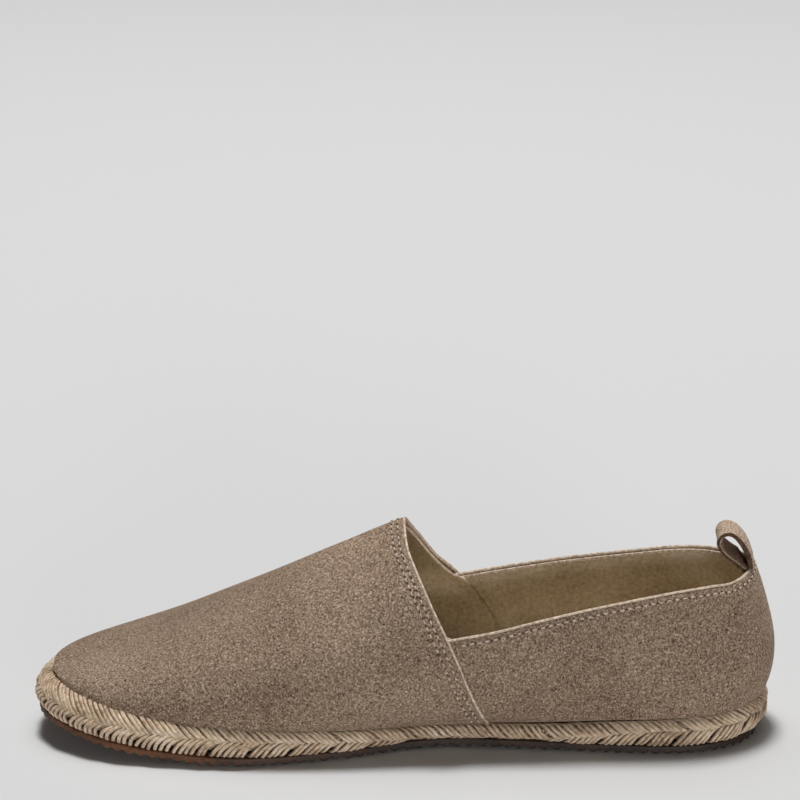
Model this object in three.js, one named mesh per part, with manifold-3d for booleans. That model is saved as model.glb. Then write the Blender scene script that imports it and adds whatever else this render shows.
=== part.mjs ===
// A right-foot slip-on espadrille: suede upper, plaited jute sole and a ribbed rubber outsole.
// Millimetres, +Z up. X runs from the back of the heel to the toe, and +Y is the inner (medial) side.
// Every piece comes from two tables: PLAN, the rope's outline from above, and LAST, the ribs of the upper.
import * as THREE from "three";
import { mergeVertices } from "three/addons/utils/BufferGeometryUtils.js";
import Module from "manifold-3d";

const wasm = await Module();
wasm.setup();

// ---- Driving dimensions -------------------------------------------------------------------------
const LENGTH = 283; // back of the heel to the tip of the toe, over the rope
const TOE_SPRING = 9; // how far the tip of the sole stands off the floor
const SPRING_START = 200; // where the sole starts to rise towards the toe
const ARCH_LIFT = 0.6; // how far the waist of the sole stands off the floor
const ARCH_FROM = 66;
const ARCH_TO = 166;
const OUTSOLE = 3.0; // rubber thickness, teeth included
const OUTSOLE_INSET = 1.5; // the rubber's edge, inside the rope's outline
const HEEL_TUCK = 5.5; // how far the sole's bottom edge is drawn in at the back of the heel
const HEEL_END = 0.24; // the u where that has faded out
const TOOTH_DEPTH = 1.4;
const TOOTH_REACH = 7; // how far the grooves between the teeth run in from the edge
const TEETH_PER_SIDE = 68;
const WALL = 2.4; // suede and lining together
const OVERLAP = 1.3; // how far the vamp stands proud of the quarters
const GAP = 0.3; // between pieces that meet
const SEAT = 0.15; // the quarters' foot, below the vamp's, and the vamp's, below the feather line
const INSOLE = 4; // footbed thickness
const INSOLE_DISH = 1.2; // how far its rim stands above its middle
const INSOLE_RIM = 14; // how wide that rim slopes
const INSOLE_TRIM = 1.5; // how far its toe is kept off the wall
const TRIM_FROM = 0.7; // the u where that starts
const TRIM_TO = 0.88; // and is complete
const STRAP = 1.6; // pull loop leather
const STRAP_WIDTH = 14;
const STRAP_SIDE = 2.5; // the strap's middle, towards the inner side
const STRAP_CURVE = 0.012; // 1/(2 x radius) of the heel's inside, which the strap follows
const POCKET_DEPTH = 8; // the strap's pocket opens this far into the shoe

// How finely the pieces are faceted.
const RIBS = 45; // along the upper and the rope
const RIB_POINTS = 11; // up each rib
const RIB_CROWDING = 1.15; // an exponent that sets those points closer together at the foot
const EDGE_POINTS = 26; // along each line of the topline
const INSOLE_RIBS = 34;
const LOOP_POINTS = 30;
const STRAP_STEPS = 4; // across the strap

const ABOVE = 140; // clear of everything above
const BEYOND = 20; // and ahead
const BELOW = 8; // how far hollows are cut below the feather line
const ACROSS = 70; // and half the width that cuts are made over

// The rope's outline. u = 0 is the back of the heel and 1 the tip of the toe, x = LENGTH (1 - cos(pi u)) / 2.
// centre is the middle of the sole, and full times sin(pi u) its half width. feather is how far inside the
// outline the upper meets the rope, and height how far that line is above the underside.
const PLAN = [
  { u: 0.0, centre: 0.5, full: 66.0, feather: 3.4, height: 14.2 },
  { u: 0.08, centre: 0.6, full: 65.5, feather: 3.6, height: 14.0 },
  { u: 0.16, centre: 0.8, full: 60.5, feather: 3.9, height: 13.6 },
  { u: 0.24, centre: 0.7, full: 50.8, feather: 4.0, height: 13.2 },
  { u: 0.32, centre: -0.6, full: 40.8, feather: 4.0, height: 12.0 },
  { u: 0.4, centre: -3.9, full: 35.9, feather: 3.6, height: 9.7 },
  { u: 0.48, centre: -7.3, full: 35.8, feather: 3.6, height: 8.6 },
  { u: 0.56, centre: -6.8, full: 45.2, feather: 4.2, height: 11.0 },
  { u: 0.64, centre: -6.7, full: 54.5, feather: 5.2, height: 13.4 },
  { u: 0.72, centre: -7.0, full: 60.3, feather: 6.0, height: 14.0 },
  { u: 0.8, centre: -6.0, full: 66.3, feather: 7.0, height: 14.0 },
  { u: 0.88, centre: -3.5, full: 68.5, feather: 8.2, height: 14.0 },
  { u: 0.94, centre: -1.2, full: 70.0, feather: 9.0, height: 14.0 },
  { u: 1.0, centre: 0.0, full: 70.0, feather: 9.4, height: 14.0 },
];

// The upper's ribs. Each is a cubic from the feather line to the crest: it leaves the feather leaning out by
// bulge while it climbs rise, and reaches the crest from reach to the side and drop below. The inner side
// stands out by lean more. lead, side and crest place the crest: ahead of the rib's foot, across, and above
// the feather line.
const LAST = [
  { u: 0.0, bulge: 13.2, rise: 20, reach: 16, drop: 2, lean: 0.0, lead: 29.5, side: 0.0, crest: 82 },
  { u: 0.08, bulge: 11.6, rise: 20, reach: 17, drop: 2, lean: 0.0, lead: 27, side: 0.0, crest: 82 },
  { u: 0.16, bulge: 8.4, rise: 20, reach: 20, drop: 2, lean: 0.0, lead: 19, side: 0.0, crest: 82 },
  { u: 0.24, bulge: 6.5, rise: 19, reach: 25, drop: 2, lean: 0.0, lead: 9, side: 0.0, crest: 82 },
  { u: 0.32, bulge: 7.5, rise: 16, reach: 29, drop: 3, lean: 0.5, lead: 2, side: -0.5, crest: 82 },
  { u: 0.4, bulge: 10.5, rise: 13, reach: 31, drop: 4, lean: 3.5, lead: 0, side: -1.5, crest: 79.2 },
  { u: 0.48, bulge: 13.5, rise: 14, reach: 28, drop: 6, lean: 7.0, lead: 0, side: -3.0, crest: 74.5 },
  { u: 0.56, bulge: 8.0, rise: 20, reach: 29, drop: 5, lean: 5.0, lead: 0, side: -5.0, crest: 57.4 },
  { u: 0.64, bulge: 3.0, rise: 19, reach: 31, drop: 3, lean: 1.0, lead: 0, side: -6.0, crest: 38.1 },
  { u: 0.72, bulge: 2.0, rise: 12, reach: 27, drop: 1.5, lean: 0.0, lead: 0, side: -6.5, crest: 21.7 },
  { u: 0.8, bulge: 1.2, rise: 7.5, reach: 21, drop: 0.8, lean: 0.0, lead: 0, side: -5.5, crest: 9.8 },
  { u: 0.88, bulge: 0.8, rise: 4.0, reach: 12.5, drop: 0.4, lean: 0.0, lead: 0, side: -3.5, crest: 4.5 },
  { u: 0.94, bulge: 0.4, rise: 2.0, reach: 6.0, drop: 0.2, lean: 0.0, lead: 0, side: -1.2, crest: 2.2 },
  { u: 1.0, bulge: 0.0, rise: 0, reach: 0, drop: 0, lean: 0.0, lead: 0, side: 0.0, crest: 0 },
];

// The topline seen from the side, at the middle of the shoe: the collar from the heel's peak down to the
// throat's corner, and the vamp's back edge from the sole, through that corner, up to the throat's peak.
// Its two sides differ: x moves by skew and z by tilt for each mm towards the inner side.
const COLLAR = [
  { x: -8, z: 68.5, skew: 0.06, tilt: 0 },
  { x: 7.5, z: 66.9, skew: 0.06, tilt: 0 },
  { x: 10.5, z: 64.9, skew: 0.06, tilt: 0.01 },
  { x: 14, z: 63.6, skew: 0.06, tilt: 0.02 },
  { x: 19, z: 62.5, skew: 0.06, tilt: 0.025 },
  { x: 26, z: 62.4, skew: 0.06, tilt: 0.025 },
  { x: 39, z: 61.2, skew: 0.06, tilt: 0.027 },
  { x: 50, z: 59.5, skew: 0.06, tilt: 0.027 },
  { x: 66, z: 56.9, skew: 0.06, tilt: 0.012 },
  { x: 80, z: 54.4, skew: 0.06, tilt: 0.003 },
  { x: 94, z: 51.5, skew: 0.06, tilt: 0 },
  { x: 107, z: 48.6, skew: 0.06, tilt: -0.004 },
  { x: 123.1, z: 45.5, skew: 0.097, tilt: 0.004 },
];
const VAMP_EDGE = [
  { x: 104.5, z: 0, skew: 0.06, tilt: 0 },
  { x: 110.8, z: 13, skew: 0.06, tilt: 0 },
  { x: 116.8, z: 27.2, skew: 0.06, tilt: 0 },
  { x: 119.6, z: 36, skew: 0.075, tilt: 0 },
  { x: 123.1, z: 45.5, skew: 0.097, tilt: 0.004 },
  { x: 129.9, z: 55.2, skew: 0.04, tilt: 0 },
  { x: 137, z: 68.2, skew: 0.031, tilt: 0 },
  { x: 140.4, z: 75, skew: 0.05, tilt: 0 },
  { x: 142.4, z: 84, skew: 0.06, tilt: 0 },
];

// The pull loop's inner edge seen from the side: a leaning teardrop that closes at the collar, and the two
// tails that run down inside the back seam.
const LOOP_HOLE = [
  { x: 11.1, z: 63.6 },
  { x: 10.5, z: 67.2 },
  { x: 11.4, z: 71.4 },
  { x: 13.2, z: 75 },
  { x: 15.4, z: 77.4 },
  { x: 17.7, z: 78.1 },
  { x: 19.7, z: 76.8 },
  { x: 20.4, z: 74.3 },
  { x: 18.7, z: 70.9 },
  { x: 15.5, z: 67.9 },
];
const LOOP_TAIL = [
  { x: 11, z: 64.2 },
  { x: 8.9, z: 57.5 },
  { x: 7.2, z: 51 },
];

// ---- Curves -------------------------------------------------------------------------------------
// A table's column at u, on a smooth curve through its rows.
function column(table, name, u) {
  let i = 0;
  while (i < table.length - 2 && u > table[i + 1].u) i++;
  const [a, b] = [table[i], table[i + 1]];
  const slope = (p, q) => (q[name] - p[name]) / (q.u - p.u);
  const tangentA = i > 0 ? slope(table[i - 1], b) : slope(a, b);
  const tangentB = i < table.length - 2 ? slope(a, table[i + 2]) : slope(a, b);
  const span = b.u - a.u;
  const t = (u - a.u) / span;
  return (
    (2 * t ** 3 - 3 * t ** 2 + 1) * a[name] +
    (t ** 3 - 2 * t ** 2 + t) * span * tangentA +
    (3 * t ** 2 - 2 * t ** 3) * b[name] +
    (t ** 3 - t ** 2) * span * tangentB
  );
}

// Height of the sole's underside above the floor.
function underside(x) {
  const toe = Math.max(0, (x - SPRING_START) / (LENGTH - SPRING_START));
  const waist = THREE.MathUtils.clamp((x - ARCH_FROM) / (ARCH_TO - ARCH_FROM), 0, 1);
  return TOE_SPRING * toe ** 2 + ARCH_LIFT * Math.sin(Math.PI * waist) ** 2;
}

function rawOutline(u, side) {
  const x = (LENGTH * (1 - Math.cos(Math.PI * u))) / 2;
  const half = column(PLAN, "full", u) * Math.sin(Math.PI * u);
  return new THREE.Vector2(x, column(PLAN, "centre", u) + side * half);
}

// The outward direction of the outline seen from above. side is 1 on the inner side and -1 on the outer.
function outward(u, side) {
  if (u <= 0) return new THREE.Vector2(-1, 0);
  if (u >= 1) return new THREE.Vector2(1, 0);
  const step = 1e-3;
  const along = rawOutline(Math.min(1, u + step), side).sub(rawOutline(Math.max(0, u - step), side));
  return new THREE.Vector2(-along.y * side, along.x * side).normalize();
}

// The rope's outline, moved in by inset.
function outline(u, side, inset) {
  return rawOutline(u, side).addScaledVector(outward(u, side), -inset);
}

// How far the sole's bottom edge is drawn in round the back of the heel.
function heelTuck(u) {
  return HEEL_TUCK * Math.max(0, 1 - u / HEEL_END) ** 2;
}

// A point of the upper: w = 0 on the feather line and 1 on the crest. inside moves the surface inwards, less
// where the crest is under LOW_TOE, so that the skin still closes at the tip.
const LOW_TOE = 8;
function last(u, side, w, inside) {
  const inset = column(PLAN, "feather", u) + inside;
  const foot = outline(u, side, inset);
  const middle = (foot.x + outline(u, -side, inset).x) / 2;
  const n = outward(u, side);
  const z = underside(rawOutline(u, side).x) + column(PLAN, "height", u);
  const crest = Math.max(0, column(LAST, "crest", u));
  const moved = inside * Math.sqrt(Math.min(1, crest / LOW_TOE));
  const p0 = new THREE.Vector3(foot.x, foot.y, z);
  const p3 = new THREE.Vector3(middle + column(LAST, "lead", u), column(LAST, "side", u), z + crest - moved);
  const lean = side > 0 ? column(LAST, "lean", u) : 0;
  const reach = Math.max(0, column(LAST, "reach", u) - moved) + lean;
  const bulge = column(LAST, "bulge", u) + lean;
  const p1 = new THREE.Vector3(p0.x + n.x * bulge, p0.y + n.y * bulge, z + column(LAST, "rise", u));
  const p2 = new THREE.Vector3(p3.x + n.x * reach, p3.y + n.y * reach, p3.z - column(LAST, "drop", u));
  return new THREE.CubicBezierCurve3(p0, p1, p2, p3).getPoint(w);
}

// ---- Solids -------------------------------------------------------------------------------------
// A closed skin over rings of points. Every ring has as many points, and the first and last may be flat.
function skin(rings) {
  const count = rings[0].length;
  const triangles = [];
  const quad = (a, b, c, d) => triangles.push(a, b, c, a, c, d);
  for (let i = 0; i + 1 < rings.length; i++)
    for (let j = 0; j < count; j++) {
      const k = (j + 1) % count;
      quad(rings[i][j], rings[i][k], rings[i + 1][k], rings[i + 1][j]);
    }
  return new THREE.BufferGeometry().setFromPoints(triangles);
}

function solid(geometry) {
  const bare = geometry.index ? geometry.toNonIndexed() : geometry.clone();
  bare.deleteAttribute("normal");
  bare.deleteAttribute("uv");
  const merged = mergeVertices(bare, 1e-4);
  return new wasm.Manifold(
    new wasm.Mesh({
      numProp: 3,
      vertProperties: new Float32Array(merged.attributes.position.array),
      triVerts: new Uint32Array(openFaces(merged).flat()),
    }),
  );
}

// Index triples of a geometry, without the ones that have closed up.
function openFaces(geometry) {
  const all = Array.from(geometry.index.array);
  const faces = [];
  for (let i = 0; i < all.length; i += 3) faces.push(all.slice(i, i + 3));
  return faces.filter(([a, b, c]) => a !== b && b !== c && a !== c);
}

// Cuts leave needles: faces whose third corner lies on their longest edge. Each is turned, with its neighbour
// across that edge, into two sound faces.
const NEEDLE = 0.01;
const NEEDLE_PASSES = 8;
function turnNeedles(geometry, faces) {
  const point = (i) => new THREE.Vector3().fromBufferAttribute(geometry.attributes.position, i);
  const length = (a, b) => point(a).distanceTo(point(b));
  const area = (a, b, c) => new THREE.Triangle(point(a), point(b), point(c)).getArea();
  for (let pass = 0; pass < NEEDLE_PASSES; pass++) {
    const owner = new Map();
    const own = (edge, i) => owner.set(edge, owner.has(edge) ? -1 : i);
    faces.forEach((f, i) => f.forEach((a, k) => own(`${a} ${f[(k + 1) % 3]}`, i)));
    const turned = new Set();
    faces.forEach((f, i) => {
      const sides = f.map((a, k) => length(a, f[(k + 1) % 3]));
      const k = sides.indexOf(Math.max(...sides));
      const [a, b, c] = [f[k], f[(k + 1) % 3], f[(k + 2) % 3]];
      const j = owner.get(`${b} ${a}`);
      if ((2 * area(a, b, c)) / sides[k] > NEEDLE || !faces[j] || turned.has(i) || turned.has(j)) return;
      const d = faces[j].find((v) => v !== a && v !== b);
      if (owner.has(`${c} ${d}`) || owner.has(`${d} ${c}`)) return;
      faces[i] = [a, d, c];
      faces[j] = [d, b, c];
      turned.add(i).add(j);
    });
    if (turned.size === 0) break;
  }
  return faces;
}

// A body's faces, with points closer than WELD made one.
const WELD = 0.02;
function geometryOf(body) {
  const mesh = body.getMesh();
  const cut = new THREE.BufferGeometry();
  cut.setAttribute("position", new THREE.BufferAttribute(mesh.vertProperties, 3));
  cut.setIndex(new THREE.BufferAttribute(mesh.triVerts, 1));
  const geometry = mergeVertices(cut, WELD);
  geometry.setIndex(turnNeedles(geometry, openFaces(geometry)).flat());
  geometry.computeVertexNormals();
  return geometry;
}

function stations(count) {
  return Array.from({ length: count + 1 }, (_, i) => i / count);
}

// The whole last, closed above the collar. inside moves its skin in, and below lowers its flat bottom.
function lastForm(inside, below) {
  const shares = stations(RIB_POINTS).map((w) => w ** RIB_CROWDING);
  const rings = stations(RIBS).map((u) => {
    const inner = shares.map((w) => last(u, 1, w, inside));
    const outer = shares.map((w) => last(u, -1, w, inside));
    const drop = (p) => new THREE.Vector3(p.x, p.y, p.z - below);
    return [drop(inner[0]), ...inner, ...outer.slice(0, -1).reverse(), drop(outer[0])];
  });
  return solid(skin(rings));
}

// A block across the shoe, straight from side to side. Its corners run from the heel, low, towards the toe,
// and back along the top.
function crossBlock(corners) {
  const ring = (y) => corners.map((p) => new THREE.Vector3(p.x + p.skew * y, y, p.z + p.tilt * y));
  const outer = ring(-ACROSS);
  const inner = ring(ACROSS);
  const faces = (side) => THREE.ShapeUtils.triangulateShape(side.map((p) => new THREE.Vector2(p.x, p.z)), []);
  const triangles = [
    ...faces(outer).flatMap(([a, b, c]) => [outer[a], outer[b], outer[c]]),
    ...faces(inner).flatMap(([a, b, c]) => [inner[a], inner[c], inner[b]]),
  ];
  outer.forEach((a, i) => {
    const j = (i + 1) % outer.length;
    triangles.push(a, inner[j], outer[j], a, inner[i], inner[j]);
  });
  return solid(new THREE.BufferGeometry().setFromPoints(triangles));
}

// Points on a smooth curve through a line of the topline.
function smooth(line) {
  const curve = (first, second) =>
    new THREE.SplineCurve(line.map((p) => new THREE.Vector2(p[first], p[second]))).getPoints(EDGE_POINTS);
  const slants = curve("skew", "tilt");
  return curve("x", "z").map((p, i) => ({ x: p.x, z: p.y, skew: slants[i].x, tilt: slants[i].y }));
}

const CORNER_STEP = 0.5; // the throat's first point above its corner
const collarLine = smooth(COLLAR);
const vampEdge = smooth(VAMP_EDGE);
const throat = vampEdge.filter((p) => p.z > COLLAR.at(-1).z + CORNER_STEP);
const peak = throat.at(-1);

const mouth = crossBlock([...collarLine, ...throat, { ...peak, z: ABOVE }, { ...collarLine[0], z: ABOVE }]);
// Everything ahead of the vamp's edge, with that edge moved back.
function front(back) {
  return crossBlock([
    { ...vampEdge[0], x: LENGTH + BEYOND },
    { ...peak, x: LENGTH + BEYOND, z: ABOVE },
    { ...peak, z: ABOVE },
    ...vampEdge.map((p) => ({ ...p, x: p.x - back })).reverse(),
  ]);
}

// Upper: quarters all round, the vamp laid over them in front, hollowed and cut open at the topline.
function upper() {
  const quarters = lastForm(0, 2 * SEAT);
  const vamp = lastForm(-OVERLAP, SEAT).intersect(front(0));
  return quarters.add(vamp).subtract(lastForm(WALL, BELOW)).subtract(mouth).subtract(pocket());
}

// Rope midsole: a lower row that stands upright and an upper row that rolls in to the upper's foot.
// The rows give a point's inset from the outline and its share of the rope's height.
const ROPE = [
  { inset: 3.0, share: 0.0 },
  { inset: 1.0, share: 0.1 },
  { inset: 0.0, share: 0.3 },
  { inset: 0.9, share: 0.52 },
  { inset: 0.8, share: 0.66 },
  { inset: 2.0, share: 0.9 },
  { inset: 3.6, share: 1.06 },
  { inset: 5.4, share: 1.1 },
  { inset: 12.0, share: 1.0 },
];

function midsole() {
  const rings = stations(RIBS).map((u) => {
    const x = rawOutline(u, 1).x;
    const low = underside(x) + OUTSOLE + GAP;
    const high = underside(x) + column(PLAN, "height", u) - GAP;
    const edge = (side) =>
      ROPE.map((r) => {
        const p = outline(u, side, r.inset + heelTuck(u) * Math.max(0, 1 - r.share));
        return new THREE.Vector3(p.x, p.y, low + (high - low) * r.share);
      });
    return [...edge(1), ...edge(-1).reverse()];
  });
  const vampFoot = lastForm(-OVERLAP - GAP, GAP + SEAT).intersect(front(GAP));
  return solid(skin(rings)).subtract(lastForm(-GAP, GAP + 2 * SEAT)).subtract(vampFoot);
}

// Insole: a dished footbed that fills the bottom of the upper.
function insole() {
  const rings = stations(INSOLE_RIBS).map((u) => {
    const floor = underside(rawOutline(u, 1).x) + column(PLAN, "height", u);
    const all = column(PLAN, "feather", u) + WALL + INSOLE_TRIM;
    const trim = THREE.MathUtils.smoothstep(u, TRIM_FROM, TRIM_TO) * all;
    const at = (side, inset, z) => {
      const p = outline(u, side, trim + inset);
      return new THREE.Vector3(p.x, p.y, floor + z);
    };
    const dish = INSOLE - INSOLE_DISH;
    const edge = (side) => [at(side, 0, SEAT), at(side, 0, INSOLE), at(side, INSOLE_RIM, dish)];
    return [...edge(1), ...edge(-1).reverse()];
  });
  return solid(skin(rings)).intersect(lastForm(WALL + GAP, BELOW));
}

// Outsole: a rubber sheet whose rim is notched all round, so that its edge shows a row of teeth.
function outsole() {
  const rings = stations(2 * TEETH_PER_SIDE).map((u, i) => {
    const s = evenStation(u);
    const notch = i % 2 ? TOOTH_DEPTH : 0;
    const edge = OUTSOLE_INSET + heelTuck(s);
    const reach = edge + TOOTH_REACH;
    const at = (side, inset, z) => {
      const p = outline(s, side, inset);
      return new THREE.Vector3(p.x, p.y, underside(p.x) + z);
    };
    return [
      at(1, reach, 0),
      at(1, edge, notch),
      at(1, edge, OUTSOLE),
      at(-1, edge, OUTSOLE),
      at(-1, edge, notch),
      at(-1, reach, 0),
    ];
  });
  return solid(skin(rings));
}

// Turns an even share of the way round the outline into its u, so that the teeth are evenly spaced.
const ROUND = 400;
const lengths = [0];
for (let i = 1; i <= ROUND; i++)
  lengths.push(lengths[i - 1] + rawOutline(i / ROUND, 1).distanceTo(rawOutline((i - 1) / ROUND, 1)));
function evenStation(share) {
  const wanted = share * lengths[ROUND];
  let i = 1;
  while (i < ROUND && lengths[i] < wanted) i++;
  return (i - 1 + (wanted - lengths[i - 1]) / (lengths[i] - lengths[i - 1])) / ROUND;
}

// A slice of the strap: its inner and outer faces at p, across its width, bowed to the heel's inside.
function strapSlice(p, n, inner, outer, width = STRAP_WIDTH) {
  const across = stations(STRAP_STEPS).map((s) => STRAP_SIDE + (s - 0.5) * width);
  const at = (y, off) => new THREE.Vector3(p.x + n.x * off + STRAP_CURVE * y * y, y, p.y + n.y * off);
  return [...across.map((y) => at(y, inner)), ...across.reverse().map((y) => at(y, outer))];
}

// The strap's doubled tail, from -back to front of its middle, grown by margin all round.
const AHEAD = new THREE.Vector2(1, 0);
function tail(line, back, front, margin) {
  const slices = line.map((p) => strapSlice(p, AHEAD, -back, front, STRAP_WIDTH + 2 * margin));
  const flat = (p) => strapSlice(p, AHEAD, 0, 0, STRAP_WIDTH + 2 * margin);
  return solid(skin([flat(line[0]), ...slices, flat(line.at(-1))]));
}

// Pull loop: one strap folded into a teardrop, its two ends back to back in a pocket of the heel's wall.
function pullLoop() {
  const hole = new THREE.SplineCurve([...LOOP_HOLE, LOOP_HOLE[0]].map((p) => new THREE.Vector2(p.x, p.z)));
  const rings = hole.getPoints(LOOP_POINTS).slice(0, -1);
  const slices = rings.map((p, i) => {
    const before = rings[(i + rings.length - 1) % rings.length];
    const after = rings[(i + 1) % rings.length];
    const n = new THREE.Vector2(before.y - after.y, after.x - before.x).normalize();
    return strapSlice(p, n, 0, STRAP);
  });
  const down = LOOP_TAIL.map((p) => new THREE.Vector2(p.x, p.z));
  return solid(skin([...slices, slices[0]])).add(tail(down, STRAP, STRAP, 0));
}

// The room that the tail and the foot of the loop take out of the upper's wall.
function pocket() {
  const foot = LOOP_TAIL.at(-1);
  const line = [
    { x: LOOP_HOLE[1].x, z: ABOVE },
    LOOP_HOLE[1],
    ...LOOP_TAIL,
    { x: foot.x, z: foot.z - GAP },
  ];
  return tail(line.map((p) => new THREE.Vector2(p.x, p.z)), STRAP + GAP, POCKET_DEPTH, GAP);
}

// ---- Assembly -----------------------------------------------------------------------------------
const rubber = new THREE.MeshStandardMaterial({ color: "#5b3a24", roughness: 0.75, metalness: 0 });
const jute = new THREE.MeshStandardMaterial({ color: "#a88f74", roughness: 0.95, metalness: 0 });
const suede = new THREE.MeshStandardMaterial({ color: "#8a7462", roughness: 0.98, metalness: 0 });
const canvas = new THREE.MeshStandardMaterial({ color: "#7a6749", roughness: 0.95, metalness: 0 });

function part(name, body, material) {
  const mesh = new THREE.Mesh(geometryOf(body), material);
  mesh.name = name;
  return mesh;
}

const espadrille = new THREE.Group();
espadrille.add(
  part("outsole", outsole(), rubber),
  part("midsole", midsole(), jute),
  part("insole", insole(), canvas),
  part("upper", upper(), suede),
  part("pull_loop", pullLoop(), suede),
);

// The origin is on the floor, under the middle of the whole shoe.
const extent = new THREE.Box3().setFromObject(espadrille);
const middle = extent.getCenter(new THREE.Vector3());
espadrille.position.set(-middle.x, -middle.y, -extent.min.z);

export default espadrille;
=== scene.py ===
"""A right-foot slip-on espadrille in taupe suede, lined in olive canvas, on a plaited jute sole.

The sections follow the order in which the shoe is put together: outsole, rope sole and plait, footbed,
linings, quarters, vamp, edges, stitching and pull loop. Lengths are in millimetres on the shoe's own last,
where x runs from the back of the heel to the toe, y towards the inner side and z up from the floor.
"""
import math

import bmesh
import bpy
import numpy as np
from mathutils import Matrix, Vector


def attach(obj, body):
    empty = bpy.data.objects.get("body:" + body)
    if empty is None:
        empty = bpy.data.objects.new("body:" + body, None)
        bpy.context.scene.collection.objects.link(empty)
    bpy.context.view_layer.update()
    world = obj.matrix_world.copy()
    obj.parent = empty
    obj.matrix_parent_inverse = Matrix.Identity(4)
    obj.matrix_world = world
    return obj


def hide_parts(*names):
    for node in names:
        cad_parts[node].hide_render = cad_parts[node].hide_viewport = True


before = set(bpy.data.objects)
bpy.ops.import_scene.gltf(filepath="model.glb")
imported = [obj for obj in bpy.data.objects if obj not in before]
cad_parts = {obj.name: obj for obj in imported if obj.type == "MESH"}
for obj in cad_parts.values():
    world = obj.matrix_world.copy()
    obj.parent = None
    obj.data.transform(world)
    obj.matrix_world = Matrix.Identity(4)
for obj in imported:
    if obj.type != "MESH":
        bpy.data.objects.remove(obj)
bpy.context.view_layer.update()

# ---- Camera -------------------------------------------------------------------------------------
# A long lens, level with the eye of someone crouching, on the shoe's inner side with the toe to the left.
MODEL_ORIGIN = np.array([141.485, -6.709, 0.0])  # the model's origin, on the last


def in_model(points):
    """Points on the last, in mm, as points of the model, in metres."""
    return (np.asarray(points, float) - MODEL_ORIGIN) / 1000.0


EYE = in_model([166.7, 923.6, 417.7])
LOOK_DOWN = 17.335  # degrees below level
LOOK_ROUND = 1.4525  # degrees round from straight across the shoe, towards the heel
camera = bpy.data.objects.new("camera", bpy.data.cameras.new("camera"))
bpy.context.scene.collection.objects.link(camera)
camera.location = EYE
camera.rotation_euler = (math.radians(90 - LOOK_DOWN), 0.0, math.radians(180 - LOOK_ROUND))
camera.data.lens = 117.0
camera.data.sensor_width = 36.0
camera.data.clip_start = 0.05
camera.data.clip_end = 30.0
bpy.context.scene.camera = camera

# ---- Rubber outsole -----------------------------------------------------------------------------
# A thin sheet of dark brown rubber, moulded with a row of teeth all round its edge and shallow cross ribs,
# and vulcanised to the rope sole's underside. It rises towards the toe and a little at the waist.
LENGTH = 283.0
TOE_SPRING = 9.0
SPRING_START = 200.0
ARCH_LIFT = 0.6
ARCH = (66.0, 166.0)
OUTSOLE = 3.0  # its thickness
OUTSOLE_INSET = 1.5  # from the rope's outline
HEEL_TUCK = 5.5  # how far the sole's bottom edge is drawn in at the back of the heel
HEEL_END = 0.24  # the u where that ends
TOOTH_PITCH = 4.66
TOOTH_DEPTH = 1.5
TOOTH_REACH = 7.0  # how far in under the sole the teeth run out
LID_INSET = 5.5
RIB_PITCH = 6.0
RIB_HEIGHT = 0.45

# The rope's outline: u, centre line, half width over sin(pi u), the upper's inset and its foot's height.
PLAN = np.array([
    [0.00, 0.5, 66.0, 3.4, 14.2],
    [0.08, 0.6, 65.5, 3.6, 14.0],
    [0.16, 0.8, 60.5, 3.9, 13.6],
    [0.24, 0.7, 50.8, 4.0, 13.2],
    [0.32, -0.6, 40.8, 4.0, 12.0],
    [0.40, -3.9, 35.9, 3.6, 9.7],
    [0.48, -7.3, 35.8, 3.6, 8.6],
    [0.56, -6.8, 45.2, 4.2, 11.0],
    [0.64, -6.7, 54.5, 5.2, 13.4],
    [0.72, -7.0, 60.3, 6.0, 14.0],
    [0.80, -6.0, 66.3, 7.0, 14.0],
    [0.88, -3.5, 68.5, 8.2, 14.0],
    [0.94, -1.2, 70.0, 9.0, 14.0],
    [1.00, 0.0, 70.0, 9.4, 14.0],
])
CENTRE, FULL, FEATHER, HEIGHT = 1, 2, 3, 4


def column(table, k, u):
    """A table's column at u, on a smooth curve through its rows."""
    u = np.asarray(u, float)
    x, y = table[:, 0], table[:, k]
    slope = np.empty_like(y)
    slope[1:-1] = (y[2:] - y[:-2]) / (x[2:] - x[:-2])
    slope[0] = (y[1] - y[0]) / (x[1] - x[0])
    slope[-1] = (y[-1] - y[-2]) / (x[-1] - x[-2])
    i = np.clip(np.searchsorted(x, u, side="right") - 1, 0, len(x) - 2)
    span = x[i + 1] - x[i]
    t = (u - x[i]) / span
    return ((2 * t**3 - 3 * t**2 + 1) * y[i] + (t**3 - 2 * t**2 + t) * span * slope[i]
            + (3 * t**2 - 2 * t**3) * y[i + 1] + (t**3 - t**2) * span * slope[i + 1])


def underside(x):
    """Height of the sole's underside above the floor."""
    toe = np.maximum(0.0, (x - SPRING_START) / (LENGTH - SPRING_START))
    waist = np.clip((x - ARCH[0]) / (ARCH[1] - ARCH[0]), 0, 1)
    return TOE_SPRING * toe**2 + ARCH_LIFT * np.sin(np.pi * waist) ** 2


def raw_outline(u, side):
    """The rope's outline from above: side is 1 on the inner side and -1 on the outer."""
    x = LENGTH * (1 - np.cos(np.pi * u)) / 2
    return np.stack([x, column(PLAN, CENTRE, u) + side * column(PLAN, FULL, u) * np.sin(np.pi * u)], -1)


def outward(u, side):
    """The direction straight out from the outline, from above."""
    u = np.asarray(u, float)
    low, high = np.clip(u - 1e-3, 0, 1), np.clip(u + 1e-3, 0, 1)
    along = raw_outline(high, side) - raw_outline(low, side)
    side = np.broadcast_to(side, u.shape)
    n = np.stack([-along[..., 1] * side, along[..., 0] * side], -1)
    n /= np.maximum(np.linalg.norm(n, axis=-1, keepdims=True), 1e-12)
    n[u <= 0] = (-1, 0)
    n[u >= 1] = (1, 0)
    return n


def outline(u, side, inset):
    """The outline moved in by an inset."""
    return raw_outline(u, side) - outward(u, side) * np.asarray(inset)[..., None]


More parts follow.
